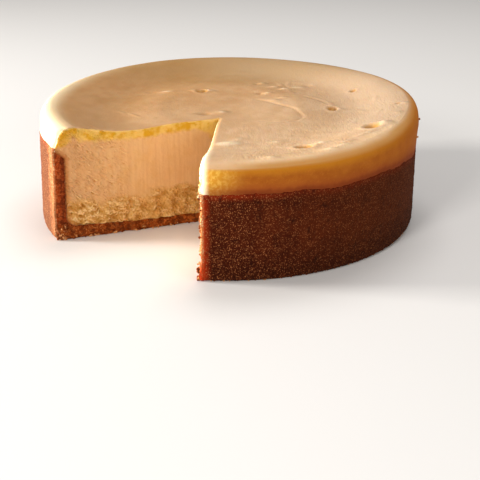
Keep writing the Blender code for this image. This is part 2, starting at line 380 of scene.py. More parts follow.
def sweep(body, counts, turns, cell):
    """Points, faces and where they are, for a body that runs round from cut to cut."""
    left, right = LEFT_CUT_ANGLE + math.tau, RIGHT_CUT_ANGLE
    near_cut = np.array([0.4, 0.9, 1.5, 2.2, 3.0]) * MM / (90 * MM)
    middle = np.linspace(right, left, turns)
    middle = middle[(middle > right + 1.2 * near_cut[-1]) & (middle < left - 1.2 * near_cut[-1])]
    phis = np.concatenate([right + near_cut, middle, left - near_cut[::-1]])
    coarse = stations(counts)
    rows = len(coarse) - 2

    s, z = body.outline(phis[:, None], coarse[None, 1:-1])
    phi = np.broadcast_to(phis[:, None], s.shape)
    u = np.broadcast_to(coarse[None, 1:-1], s.shape)
    data = [np.stack([a.ravel() for a in (phi, s, z, u)], -1)]
    poles = len(phis) * rows
    _, ends_z = body.outline(np.array([right, right]), np.array([0.0, 5.0]))
    data.append(np.stack([[right, right], [0, 0], ends_z, [0.0, 5.0]], -1))
    total = poles + 2

    faces = []
    for j in range(len(phis) - 1):
        a, b = j * rows, (j + 1) * rows
        faces += [(a + k, b + k, b + k + 1, a + k + 1) for k in range(rows - 1)]
        faces.append((poles, b, a))
        faces.append((poles + 1, a + rows - 1, b + rows - 1))
    kind = [0] * len(faces)

    edge_count = max(2, round(abs(ends_z[1] - ends_z[0]) / cell))
    edge_z = np.linspace(ends_z[1], ends_z[0], edge_count + 1)[1:-1]
    data.append(np.stack([np.full(len(edge_z), right), np.zeros(len(edge_z)), edge_z,
                          np.full(len(edge_z), 6.0)], -1))
    edge = list(range(total, total + len(edge_z)))
    total += len(edge_z)

    cuts = []
    for side, angle, column in ((-1, right, 0), (1, left, len(phis) - 1)):
        fine = fine_stations(body, angle, coarse, cell)
        s, z = body.outline(angle, fine[1:-1])
        line = [poles] + list(range(total, total + len(s))) + [poles + 1]
        data.append(np.stack([np.full(len(s), angle), s, z, fine[1:-1]], -1))
        total += len(s)
        column = [poles] + [column * rows + k for k in range(rows)] + [poles + 1]
        strip = zip_strip(column, coarse, line, fine)
        faces += strip
        kind += [0] * len(strip)

        loop = line + edge
        so_far = np.concatenate(data)
        grid, triangles = face_grid(so_far[loop][:, 1:3], cell)
        index = loop + list(range(total, total + len(grid)))
        data.append(np.stack([np.full(len(grid), angle), grid[:, 0], grid[:, 1],
                              np.full(len(grid), 7.0)], -1))
        total += len(grid)
        faces += [tuple(index[corner] for corner in face) for face in triangles]
        kind += [1] * len(triangles)
        cuts.append({"side": side, "points": np.array(index), "line": line})
    return np.concatenate(data), faces, np.array(kind), cuts


FILLING = Body(filling_parts(), top_height, base_height, OVERLAP)
CRUST = Body(crust_parts(), lambda radius: 0 * radius, base_height, 0)


# Marks on the skin: x, y, half length, half width (mm), direction (degrees), height (mm)
MARKS = (
    (-38.8, 33, 6, 1.8, 0, 0.9), (-48.5, 36.6, 3.2, 1.8, 0, -0.7), (-22.7, 35.2, 2.6, 1.5, 0, 0.5),
    (-11, 33.9, 2.8, 1.8, 0, 0.7), (-13, -16.5, 3.4, 2.8, 0, -0.9), (-3.2, -14.6, 3.4, 2.8, 15, 0.8),
    (0.2, -68.6, 7.5, 3.6, 8, 1.25), (5.5, -61.5, 5, 2.6, 18, 0.55), (50.2, -77.6, 4.2, 2.4, 22, 0.95),
    (52.8, -92.9, 4.6, 2.2, 12, 0.85), (59.9, -86.8, 4.8, 1.9, 24, 0.85), (62.5, -80.5, 4.6, 1.2, 30, 0.6),
    (22, -103.2, 3.6, 1.7, 4, 0.75), (26.5, -65.9, 4.6, 2.2, 12, 0.65), (34, -70.5, 3, 1.3, 20, 0.45),
    (87.6, -52.4, 3.8, 3.4, 20, 1.5), (104.3, -16.8, 2.8, 1.6, 0, 0.75), (100.2, -15.2, 1.8, 1.3, 0, -0.6),
    (97.5, -33.7, 2.6, 1.8, 20, 0.6), (66.9, -7.1, 2.8, 1.9, 0, 0.6), (61.2, 2.6, 3.4, 1.1, -52, 0.4),
    (22.7, 57.6, 2.8, 2.3, 0, 0.8), (19.6, 56.2, 1.9, 2, 0, -0.7), (25.5, 27.1, 2.8, 1.8, 0, 0.75),
    (20.6, 27.7, 2, 2, 0, -0.7), (30.2, 44.7, 3.6, 1.6, 0, 0.6), (36.4, 39.6, 2.8, 1.8, 12, 0.95),
    (47.6, 45.8, 3.8, 2, -5, 0.75), (52.6, 52, 3, 2.2, 0, -0.7), (29, 9.9, 4.2, 1.8, -20, 0.5),
    (34.4, 16.2, 2.8, 1.5, -10, 0.5), (42.6, 33.5, 2.6, 3.2, 50, -0.55), (38.7, 19.5, 2.6, 1.4, 0, -0.35),
    (36.5, 31.5, 3, 1.4, 0, -0.5), (31, 38, 3.4, 1.2, -6, -0.45), (46, 60, 4, 1.6, -10, 0.3),
    (-61.9, -9.6, 3.8, 0.8, -52, 0.45), (-59.6, -11.8, 3.2, 0.8, -50, -0.35),
    (-56.7, -13.6, 3.8, 0.8, -52, 0.45), (-53.8, -17.7, 2.8, 0.8, -48, 0.35),
    (-77, -44.3, 4.2, 0.9, -48, -0.55), (-74.2, -45.6, 4.2, 0.8, -46, 0.4),
    (-72.9, -51.5, 3.4, 0.8, -30, 0.35), (24.5, -99, 9, 1, 6, 0.35), (36, -93.5, 6, 1.1, 10, 0.4),
    (13, -88, 7, 1, 2, 0.35), (12, -96.5, 6, 0.9, 0, 0.3), (71.5, -70.5, 5, 1.2, 38, 0.5),
    (77, -66, 4.2, 1, 42, 0.45), (67.5, -75, 4, 0.9, 34, -0.4), (79, -14, 4.4, 1.4, -60, 0.3),
    (88, -24, 4, 1.4, 60, 0.3), (71, -37, 4, 1.4, 60, 0.35), (90, 4, 5, 1.2, 80, 0.3),
    (35.6, 53.5, 6, 1.4, 106, 0.34), (39.8, 55.5, 7, 1.5, 79, 0.34), (43, 46, 3.8, 2.4, 0, 0.6),
    (39.6, 36.5, 6, 1.4, -80, 0.36), (37.8, 48.5, 1.7, 3, 0, -0.9), (31, 47, 3.2, 2.2, 5, 0.5),
    (-30, 60, 8, 2, 8, 0.2), (10, 82, 9, 2, -4, 0.2), (-66, 22, 7, 1.6, 30, 0.2),
)
# Pits in the skin: x, y, half width, half length and depth (mm)
PITS = (
    (63, -5.4, 2.8, 4.4, 2), (80, -53.2, 4.4, 5.2, 1.7), (40.3, -82.4, 4.6, 4.6, 1.7),
    (79.7, 29.5, 2.2, 2.2, 0.8), (-16.6, 33.2, 3.2, 3.2, 1.3), (100.9, -15.5, 1.5, 1.5, 0.6),
)
# Lines of the skin, as points on it (mm): the long fold, and the crease behind it
FOLD = ((16.5, 15.3), (22.1, 11.3), (31.1, 1.7), (39.8, -7.0), (41.9, -15.4), (44.9, -24.7), (40.0, -30.8),
        (35.0, -33.7), (24.4, -33.6), (14.7, -29.3))
CREASE = ((44.5, 24.5), (50.1, 19.2), (55.4, 14.7), (59.3, 9.9), (62.0, 1.5))


def near_line(points, line):
    """Distance to a smooth line through points, how far along it from 0 to 1, and which side."""
    line = np.array(line)
    for _ in range(2):
        a, b = line[:-1], line[1:]
        cuts = np.stack([0.75 * a + 0.25 * b, 0.25 * a + 0.75 * b], 1).reshape(-1, 2)
        line = np.concatenate([line[:1], cuts, line[-1:]])
    best = np.full(len(points), 1e9)
    where, side = np.zeros(len(points)), np.zeros(len(points))
    for index, (a, b) in enumerate(zip(line, line[1:])):
        t = np.clip(((points - a) @ (b - a)) / ((b - a) @ (b - a)), 0, 1)
        off = points - (a + t[:, None] * (b - a))
        distance = np.hypot(off[:, 0], off[:, 1])
        closer = distance < best
        turn = (b - a)[0] * off[:, 1] - (b - a)[1] * off[:, 0]
        best = np.where(closer, distance, best)
        where = np.where(closer, (index + t) / (len(line) - 1), where)
        side = np.where(closer, np.sign(turn), side)
    return best, where, side


def skin_relief(points):
    """Height of the skin's marks over its plain form, how deep a point lies in a pit, how crinkled."""
    x, y = points[:, 0] / MM, points[:, 1] / MM
    flat = plane(x, y)
    front = smoothstep(-25, 15, x) * smoothstep(-20, -60, y)
    right = smoothstep(30, 60, x) * (0.35 + 0.65 * smoothstep(40, -30, y))
    star = np.exp(-(((x - 36) / 20) ** 2 + ((y - 38) / 26) ** 2))
    restless = np.clip(front + right + 0.8 * star, 0, 1) * (0.55 + 0.45 * soft_noise(flat / 13, 8))
    crinkle = np.zeros(len(x))
    for seed, turn in ((11, 0.5), (12, -0.35), (13, 1.2)):
        strokes = stroked(flat, (math.cos(turn), -math.sin(turn)), 3.6, -9.0)
        crinkle += np.clip(1 - 2.2 * np.abs(soft_noise(strokes, seed)), -0.6, 1)
    relief = 0.12 * soft_noise(flat / 21, 3) + 0.05 * restless * crinkle
    relief += 0.05 * soft_noise(flat / 4.1, 5) * (0.3 + 0.7 * restless)

    for mx, my, length, width, turn, height in MARKS:
        c, s = math.cos(math.radians(turn)), math.sin(math.radians(turn))
        a, b = (x - mx) * c + (y - my) * s, -(x - mx) * s + (y - my) * c
        relief += height * np.exp(-(a / length) ** 2 - (b / width) ** 2)

    distance, where, side = near_line(flat[:, :2], FOLD)
    uneven = 0.75 + 0.5 * soft_noise(flat / 6, 9)
    raised = 0.27 * uneven * smoothstep(0, 1.3, distance) * np.exp(-distance / 5)
    fold = np.where(side > 0, raised, -0.16 * np.exp(-distance / 7)) - 0.3 * np.exp(-distance ** 2)
    relief += within(where, 0, 0.12, 0.7, 1) * fold
    distance, where, side = near_line(flat[:, :2], CREASE)
    crease = 0.2 * np.exp(-((distance - 1.8) / 1.4) ** 2) * (side > 0)
    crease -= 0.4 * np.exp(-(distance / 1.1) ** 2)
    relief += within(where, 0, 0.4, 0.95, 1.02) * crease

    hollow = np.zeros(len(x))
    for px, py, across, deep, depth in PITS:
        r = np.hypot((x - px) / across, (y - py) / deep)
        relief += 0.3 * np.exp(-((r - 1.4) / 0.33) ** 2) - depth * np.exp(-(r / 0.85) ** 4)
        hollow = np.maximum(hollow, np.exp(-(r / 1.02) ** 6))
    return relief, hollow, np.clip(restless, 0, 1)


def cad_relief(along, height, side):
    """The relief that the CAD's cut faces have: crags low down, a slow waver above."""
    result = np.zeros(len(along))
    for index, (s, z) in enumerate(zip(along, height)):
        crag = noise.noise(Vector((s / CRAG_SIZE, z / CRAG_SIZE, CRAG_SEED * side)))
        waver = noise.noise(Vector((s / CUT_WAVER_SIZE, z / CUT_WAVER_SIZE, WAVER_SEED * side)))
        fade = 1 - float(smoothstep(0.7 * CRAG_TOP, CRAG_TOP, z))
        result[index] = CRAG_DEPTH * crag * fade + CUT_WAVER * waver
    return result * smoothstep(0, CLEAN_POINT, along)


def outline_distance(cut, data, first, last):
    """How far each point of a cut face lies from one stretch of its outline, and the way there."""
    line = np.array(cut["line"])
    u = data[line, 3]
    stretch = data[line[(u >= first) & (u <= last)]][:, 1:3]
    tree = KDTree(len(stretch))
    for index, (s, z) in enumerate(stretch):
        tree.insert((s, z, 0), index)
    tree.balance()
    places = data[cut["points"], 1:3]
    found = [tree.find((s, z, 0)) for s, z in places]
    near = np.array([place[0] for place in found])[:, :2]
    return np.array([place[2] for place in found]), places - near


def rounded(distance, size):
    """A rounded edge: how far points near it move away from it, and how far they sink."""
    turn = math.pi / 4 * (1 - np.clip(distance / size, 0, 1))
    return np.where(distance < size, size * (1 - np.sin(turn)) - distance, 0), size * (1 - np.cos(turn))


def unit(vectors, otherwise=(0, 0)):
    """Vectors brought to a length of 1, and what stands for those without length."""
    length = np.linalg.norm(vectors, axis=-1, keepdims=True)
    return np.where(length > 1e-7, vectors / np.maximum(length, 1e-9), otherwise)


def outward(body, phi, u):
    """The outward direction of the swept surface."""
    step = 0.002
    low, high = np.clip(u - step, 0.001, 4.999), np.clip(u + step, 0.001, 4.999)
    run = place(phi, *body.outline(phi, high)) - place(phi, *body.outline(phi, low))
    turn = place(phi + step, *body.outline(phi + step, np.clip(u, 0.02, 4.98)))
    turn = turn - place(phi - step, *body.outline(phi - step, np.clip(u, 0.02, 4.98)))
    normal = np.cross(run, turn)
    return normal / np.maximum(np.linalg.norm(normal, axis=-1, keepdims=True), 1e-12)


def cut_frame(side):
    """Along a cut face from the wedge's point, and out of it into the gap."""
    angle = LEFT_CUT_ANGLE if side > 0 else RIGHT_CUT_ANGLE
    ahead = np.array([math.cos(angle), math.sin(angle), 0])
    return ahead, np.array([-ahead[1], ahead[0], 0]) * side


def from_cut(points, side):
    """How far points lie behind a cut face, and how far along it from the wedge's point."""
    ahead, normal = cut_frame(side)
    away = points - [*APEX, 0]
    return -(away @ normal), away @ ahead


def edge_distance(points, side):
    """Distance in mm from the plane of a cut face."""
    return np.abs(from_cut(points, side)[0]) / MM


def corner_bulge(height, side):
    """How far the front corner of the right cut leans into the gap, with lumps at the filling's foot."""
    mm = height / MM
    lumps = 0.5 * soft_noise(plane(mm / 3.1), 90)
    lumps = lumps + 1.1 * np.exp(-((mm - 49) / 3.2) ** 2) + 1.1 * np.exp(-((mm - 3) / 5) ** 2)
    return (0.7 + lumps) * MM * (side < 0)


def soften_cut_edges(body, data, points, cuts, size_of):
    """Round the edges between the swept surface and both cut faces."""
    u = data[:, 3]
    for cut in cuts:
        side = cut["side"]
        size = size_of(u, side)
        distance, ahead = from_cut(points, side)
        moving = (u > 0) & (u < 5) & (distance < size) & (distance > -1e-6) & (ahead > POINT_ZONE)
        moving[cut["line"]] = False
        away, sink = rounded(distance[moving], size[moving])
        lean = corner_bulge(data[moving, 2], side) * smoothstep(size[moving], 0, distance[moving])
        lean = lean * within(u[moving], 1.0, 1.3, 2.6, 3.2)
        out = outward(body, data[moving, 0], u[moving])
        points[moving] += cut_frame(side)[1] * (lean - away)[:, None] - out * sink[:, None]


def shift_cut(points, cut, out, along_face):
    """Move a cut face's points out of the face and along it."""
    ahead, normal = cut_frame(cut["side"])
    moved = normal * out[:, None] + ahead * along_face[:, :1]
    moved[:, 2] += along_face[:, 1]
    points[cut["points"]] += moved


def follow_cut(data, points, cut, amount):
    """Let the swept surface next to a cut face follow that face's relief, so nothing folds over."""
    u = data[:, 3]
    moved = np.zeros(len(data))
    moved[cut["points"]] = amount
    line = np.array(cut["line"])
    line = line[np.argsort(u[line])]
    distance, ahead = from_cut(points, cut["side"])
    near = (u > 0) & (u < 5) & (distance < FOLLOW) & (distance > -3 * MM) & (ahead > POINT_ZONE)
    near[line] = False
    shift = np.interp(u[near], u[line], moved[line]) * np.clip(1 - distance[near] / FOLLOW, 0, 1)
    points[near] += cut_frame(cut["side"])[1] * shift[:, None]


def filling_edge(u, side):
    """How round the filling's cut edges are: a soft lip on top, softer at the shoulder's corner."""
    top, down = (2.8, 4.6) if side < 0 else (1.6, 3.4)
    corner = within(u, 0.9, 1.6, 3.0, 3.2)
    return (top + (down - top) * corner) * MM * smoothstep(3.6, 3.3, u) + 1e-9


def crust_edge(u, side):
    """How round the crust's cut edges are: crumbled round on the outside, sharp inside."""
    return (3.6 if side < 0 else 1.8) * MM * within(u, 0.8, 1.1, 2.1, 2.5) + 1e-9


def filling_cut(a, h, distance, side):
    """Relief of the filling's cut face over its waver, and where it is torn. Lengths in mm."""
    seed = 50 + side
    flat = plane(a, h)
    left = smoothstep(35, 70, a)
    crag = h + 9 * soft_noise(flat / [13, 9, 1], seed + 12) + 2 * soft_noise(flat / 3.4, seed)
    wall_inside = (RADIUS - WALL_THICKNESS) / MM
    by_wall = 0.7 * smoothstep(14, 9, wall_inside - 4 - a) * smoothstep(34, 20, h)
    crag = np.maximum(smoothstep(26, 18, crag), by_wall)

    ridge = stroked(flat, (0.88, 0.47), 7.5, -2.3) + 0.55 * plane(0, layered_noise(flat / 9, 2, seed + 10))
    ridge = np.clip(1 - 2.6 * np.abs(soft_noise(ridge, seed + 11)), -0.7, 1)
    torn = (0.55 + 0.5 * left) * (0.45 - grains(flat / [2.6, 1.5, 1], seed + 4))
    torn += (0.6 + 0.8 * left) * (0.45 - grains(flat / [1.3, 1.0, 1], seed + 5))
    torn += (0.45 + 0.25 * left) * ridge + 0.4 * layered_noise(flat / [5.5, 3.2, 1], 2, seed + 6)

    streak = soft_noise(flat / [1.7, 26, 1], seed + 1) + 0.6 * soft_noise(flat / [0.95, 15, 1], seed + 2)
    calm = 0.5 + 0.5 * smoothstep(-0.3, 0.5, soft_noise(flat / [13, 25, 1], seed + 9))
    slant = stroked(flat, (0.8, 0.6), 3.0, 0.95) + 0.5 * plane(0, soft_noise(flat / 7, seed + 14))
    nick = smoothstep(0.12, 0.4, soft_noise(slant, seed + 7))
    nick -= 0.8 * smoothstep(0.12, 0.4, soft_noise(slant + [0, 0.75, 0], seed + 7))
    nick *= smoothstep(-0.25, 0.35, soft_noise(flat / [9, 7, 1], seed + 13))
    slanted = soft_noise(slant + 3, seed + 15) + 0.7 * soft_noise(slant * [1.6, 1.9, 1], seed + 16)
    sliced = 0.075 * calm * streak - 0.7 * (0.05 + 0.95 * smoothstep(40, 70, a)) * nick
    sliced += 0.5 * slanted * smoothstep(46, 76, a)

    under_gold = np.exp(-((distance - GOLD_DEPTH) / 1.3) ** 2)
    lift = crag * torn * (0.95 + 0.3 * left) + (1 - crag) * sliced
    lift += 0.1 * layered_noise(flat / 2.6, 3, seed + 3)
    return lift + 0.45 * under_gold * layered_noise(flat / 1.9, 2, seed + 8), crag


def make_filling():
    """The filling: skin with its marks, soft shoulder, and two cut faces torn low down."""
    data, faces, kind, cuts = sweep(FILLING, FILLING_STEPS, FILLING_TURNS, FILLING_CELL)
    phi, s, z, u = data.T
    points = place(phi, s, z)
    shell, skin = u <= 5, u < 2.9
    out = np.zeros(points.shape)
    out[shell] = outward(FILLING, phi[shell], u[shell])
    out[u <= 0.01] = (0, 0, 1)

    relief, hollow, restless = skin_relief(points)
    weight = np.where(u < 1, 1, smoothstep(2.2, 1.2, u))
    ripple = soft_noise(plane(phi * 105, z / MM) / [14, 2.2, 1], 30) * within(u, 1.0, 1.5, 2.0, 2.5)
    uneven = 0.16 * layered_noise(points / (7 * MM), 3, 31) * smoothstep(1.2, 1.8, u) + 0.13 * ripple
    points[skin] += out[skin] * (relief * weight + uneven)[skin][:, None] * MM

    fields = {"depth": np.full(len(data), 30.0), "wall": np.where(u >= 3, 0, 30.0),
              "pit": hollow * weight * skin, "lift": relief * weight * skin,
              "restless": restless * (u <= 1), "crag": np.zeros(len(data)), "scored": np.zeros(len(data))}
    soften_cut_edges(FILLING, data, points, cuts, filling_edge)
    for cut in cuts:
        where, side = cut["points"], cut["side"]
        a, h = s[where] / MM, z[where] / MM
        distance, away = outline_distance(cut, data, 0.0, 3.0)
        skin_distance, _ = outline_distance(cut, data, 0.0, 1.9)
        from_side, _ = outline_distance(cut, data, 1.4, 3.0)
        wall, _ = outline_distance(cut, data, 3.0, 4.0)
        lift, crag = filling_cut(a, h, distance / MM, side)
        lift = lift * smoothstep(0, 5, a)
        by_wall = smoothstep(1.2 * MM, 0, wall)
        pull = cad_relief(s[where], z[where], side) + (lift * (1 - 0.65 * by_wall) + 0.45 * by_wall) * MM

        top_edge, side_edge = filling_edge(0.5, side), filling_edge(2.0, side)
        corner = smoothstep(90, 100, a) if side > 0 else smoothstep(78, 86, a)
        slide, sink = rounded(distance, top_edge + (side_edge - top_edge) * corner)
        inwards = FACE_MIDDLE - np.stack(FILLING.outline(phi[where], np.clip(u[where], 0, 3)), -1)
        inwards = np.where((u[where] < 1.05)[:, None], [0, -1], inwards)
        seen = ((u[where] > 5) | (u[where] < 3)) * smoothstep(0, 3, a)
        lean = corner_bulge(z[where], side) * smoothstep(9 * MM, 0, from_side) * smoothstep(68, 60, h)
        along_face = unit(away, unit(inwards)) * (slide * seen)[:, None]
        shift_cut(points, cut, pull + lean - sink * seen, along_face)
        follow_cut(data, points, cut, pull)

        thick, above_crust = GOLD_DEPTH, 1
        if side > 0:
            thick = 5.6 + 1.9 * smoothstep(60, 76, a) + 4.6 * smoothstep(86, 99, a)
            thick += 7 * smoothstep(15, 1, a)
            above_crust = smoothstep(43.5, 48, h)
        depth = skin_distance / MM * GOLD_DEPTH / thick + 9 * (1 - above_crust)
        scored = smoothstep(48, 74, a) * (1 - crag)
        for name, values in (("depth", depth), ("crag", crag), ("scored", scored), ("lift", lift),
                             ("wall", wall / MM)):
            fields[name][where] = values
    kind[:] = [part or min(u[list(face)]) >= 3 for part, face in zip(kind, faces)]
    return data, points, faces, kind, fields


def make_crust():
    """The crumb crust: packed grains all over, rough where it is cut."""
    data, faces, kind, cuts = sweep(CRUST, CRUST_STEPS, CRUST_TURNS, CRUST_CELL)
    phi, s, z, u = data.T
    points = place(phi, s, z)
    seen = (u > 0.9) & (u < 3)
    plain = points[seen] / MM
    bump = 0.26 * (0.5 - grains(plain / 1.9, 61)) + 0.42 * (0.5 - grains(plain / 1.25, 62))
    bump += 0.14 * layered_noise(plain / 5, 2, 63)
    points[seen] += outward(CRUST, phi[seen], u[seen]) * (bump * MM)[:, None]
    lift = np.zeros(len(data))
    lift[seen] = bump
    flat = plane(plain[:, 0], plain[:, 1])
    rise = 0.75 * layered_noise(flat / 5.5, 2, 64) + 0.75 * layered_noise(flat / 1.7, 2, 65) - 0.1
    points[seen, 2] += within(u[seen], 1.86, 2.0, 2.3, 3.0) * rise * MM

    fields = {"from_outside": np.zeros(len(data)), "lift": lift}
    soften_cut_edges(CRUST, data, points, cuts, crust_edge)
    for cut in cuts:
        where, side = cut["points"], cut["side"]
        seed = 80 + side
        distance, away = outline_distance(cut, data, 1.0, 2.5)
        flat = plane(s[where], z[where]) / MM
        rough = 0.8 * (0.42 - grains(flat / 2.2, seed)) + 0.7 * (0.42 - grains(flat / 1.2, seed + 1))
        rough += 0.25 * layered_noise(flat / 3.5, 2, seed + 2)
        still = smoothstep(0, 2 * MM, s[where])
        pull = still * (cad_relief(s[where], z[where], side) + rough * MM)
        lean = still * corner_bulge(z[where], side) * smoothstep(7 * MM, 0, distance)
        slide, sink = rounded(distance, crust_edge(1.5, side))
        shift_cut(points, cut, pull + lean - sink, unit(away, (-1, 0)) * slide[:, None])
        follow_cut(data, points, cut, pull)
        lift[where] = rough
        fields["from_outside"][where] = distance / MM
    points[:, 2] = np.maximum(points[:, 2], 0.0)
    return data, points, faces, kind, fields


# Crumbs along a cut: how many, which cut, the draws for size, place along, out and up, then each
# of those four as a least value, a spread (mm) and a power, and whether they lean with the corner
CRUMB_ROWS = (
    (64, 1, (1, 2, 3, 4), ((0.3, 0.4, 1), (5, 92, 1), (0.1, 0.9, 1), (0.2, 1.6, 3)), False),
    (34, 1, (5, 6, 7, 8), ((0.35, 0.5, 1), (92.5, 5.6, 1), (0.5, -0.9, 1), (0.3, 9, 2)), False),
    (46, -1, (9, 11, 12, 10), ((0.3, 0.4, 2), (84.4, 2.6, 1), (-0.1, -0.8, 1), (0.4, 47, 1)), True),
    (16, -1, (15, 16, 17, 18), ((0.45, 0.5, 1), (85, 3.4, 1), (0.9, 0.7, 1), (0.4, 9, 2)), False),
)
FOOT_CRUMBS = 150
STUCK_CRUMBS = ((112.8 * MM, -20.8 * MM, 61.1 * MM), (111.5 * MM, -25.6 * MM, 51.5 * MM))
STUCK_SIZE = 0.75 * MM


def crumb_places():
    """Where crumbs lie: along the foot of the left cut, round both corners and the foot, two aside."""
    def number(index, seed):
        return float(hashed(np.array([index, seed, 0]), 7))

    places = []
    for count, side, seeds, ranges, leaning in CRUMB_ROWS:
        ahead, normal = cut_frame(side)
        for k in range(count):
            size, along, off, height = ((low + spread * number(k, seed) ** power) * MM
                                        for seed, (low, spread, power) in zip(seeds, ranges))
            off += leaning * corner_bulge(np.array(height), side)
            spot = [*APEX, height] + ahead * along + normal * off
            places.append((*spot, size))
    gap_to_gap = LEFT_CUT_ANGLE + math.tau - RIGHT_CUT_ANGLE
    for k in range(FOOT_CRUMBS):
        angle = RIGHT_CUT_ANGLE + gap_to_gap * (k + number(k, 13)) / FOOT_CRUMBS
        rim = (RADIUS - 0.9 * MM) * np.array([math.cos(angle), math.sin(angle), 0])
        places.append((*settle(rim)[:2], 0.3 * MM, (0.25 + 0.4 * number(k, 14) ** 2) * MM))
    return places + [(*spot, STUCK_SIZE) for spot in STUCK_CRUMBS]


def make_crumbs():
    """Loose crumbs: small lumpy grains, flat where they would go through the floor."""
    ball = bmesh.new()
    bmesh.ops.create_icosphere(ball, subdivisions=3, radius=1)
    grid = np.array([v.co for v in ball.verts])
    shape = [tuple(v.index for v in f.verts) for f in ball.faces]
    ball.free()
    points, faces, tint = [], [], []
    for index, (x, y, z, size) in enumerate(crumb_places()):
        turns = hashed(np.array([[index, 1, k] for k in range(6)]), 11)
        turned = grid @ np.array(Euler(turns[:3] * math.tau).to_matrix()).T
        lumpy = turned * (1 + 0.28 * layered_noise(turned * 1.3 + index * 3.7, 2, 12)
                          + 0.24 * soft_noise(turned * 3.1 + index * 1.9, 14))[:, None]
        lumpy = lumpy * (0.75 + 0.5 * turns[3:6]) * size + [x, y, z]
        lumpy[:, 2] = np.maximum(lumpy[:, 2], 0.02 * MM)
        faces += [tuple(corner + len(grid) * index for corner in face) for face in shape]
        points.append(lumpy)
        tint.append(np.full(len(grid), hashed(np.array([index, 2, 3]), 13)))
    return np.concatenate(points), faces, {"tint": np.concatenate(tint)}


def make_object(name, points, faces, kind, fields, material):
    """A mesh object with its faces turned outwards, and named fields for its material."""
    mesh = bpy.data.meshes.new(name)
    mesh.from_pydata(points.tolist(), [], faces)
    shape = bmesh.new()
    shape.from_mesh(mesh)
    bmesh.ops.recalc_face_normals(shape, faces=shape.faces)
    shape.to_mesh(mesh)
    shape.free()
    for key, values in fields.items():
        mesh.attributes.new(key, 'FLOAT', 'POINT').data.foreach_set("value", values.astype(np.float32))
    if kind is not None:
        mesh.attributes.new("cut", 'FLOAT', 'FACE').data.foreach_set("value", kind.astype(np.float32))
    mesh.shade_smooth()
    mesh.materials.append(material)
    thing = bpy.data.objects.new(name, mesh)
    bpy.context.scene.collection.objects.link(thing)
    return thing


def tone(red, green, blue):
    """A colour given as it looks on a screen, 0 to 255, as the renderer wants it."""
    linear = [c / 12.92 if c <= 0.04045 else ((c + 0.055) / 1.055) ** 2.4
              for c in (red / 255, green / 255, blue / 255)]
    return (*linear, 1)


def grey(value):
    return (value, value, value, 1)


